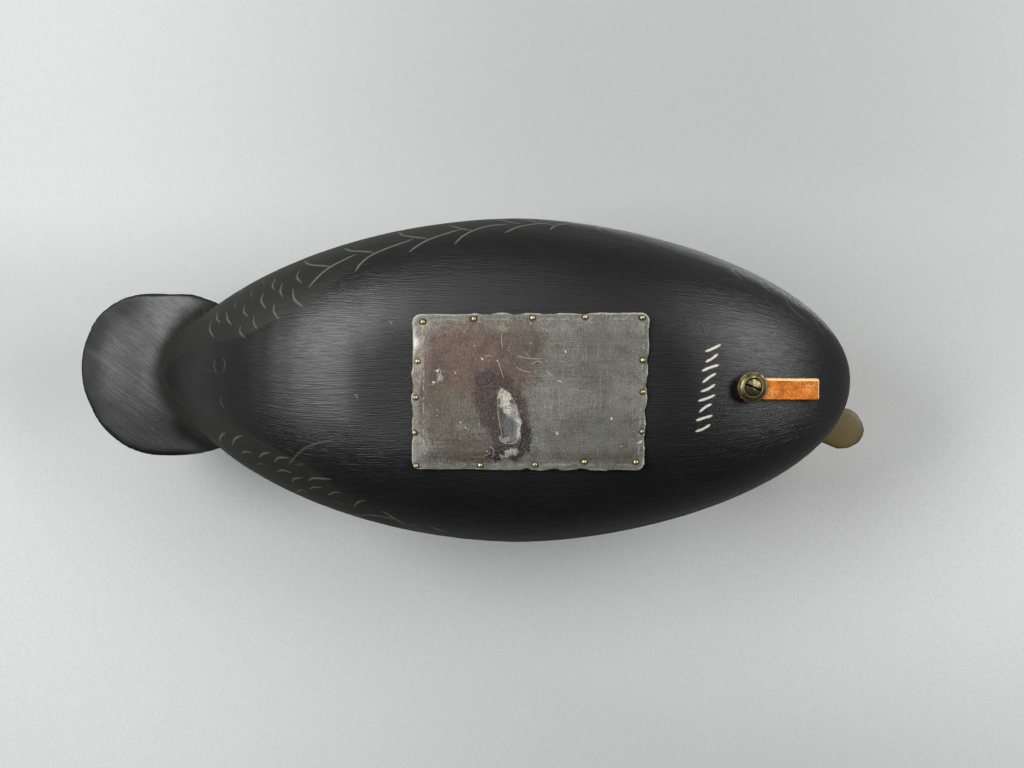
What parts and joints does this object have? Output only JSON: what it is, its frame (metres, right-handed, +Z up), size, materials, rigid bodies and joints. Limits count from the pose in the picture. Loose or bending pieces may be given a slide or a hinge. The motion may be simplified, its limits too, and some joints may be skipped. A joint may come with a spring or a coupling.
{
  "type": "black duck decoy",
  "caption": "Carved wooden duck decoy with a rounded body, paddle tail and turned head, a tacked lead ballast plate on its flat underside and a leather line tie under the breast.",
  "frame": {"origin": "on the ballast plate's flat lower face, on which the decoy stands upright", "axes": "+X forward to the breast and bill, +Y to the duck's left, +Z up"},
  "size_m": [0.4337, 0.163, 0.1775],
  "materials": {
    "black_paint": "satin",
    "head_paint": "satin",
    "eye_glass": "gloss",
    "rolled_lead": "matte",
    "tack_brass": "satin",
    "strap_leather": "matte",
    "aged_brass": "satin"
  },
  "bodies": {
    "root": {"body": "black_paint", "head": "head_paint", "eye_left": "eye_glass", "eye_right": "eye_glass", "ballast_plate": "rolled_lead", "tack_01": "tack_brass", "tack_02": "tack_brass", "tack_03": "tack_brass", "tack_04": "tack_brass", "tack_05": "tack_brass", "tack_06": "tack_brass", "tack_07": "tack_brass", "tack_08": "tack_brass", "tack_09": "tack_brass", "tack_10": "tack_brass", "tack_11": "tack_brass", "tack_12": "tack_brass", "tack_13": "tack_brass", "tack_14": "tack_brass", "tack_15": "tack_brass", "tack_16": "tack_brass", "line_tie_strap": "strap_leather", "line_tie_washer": "aged_brass", "line_tie_screw": "aged_brass"}
  },
  "joints": []
}
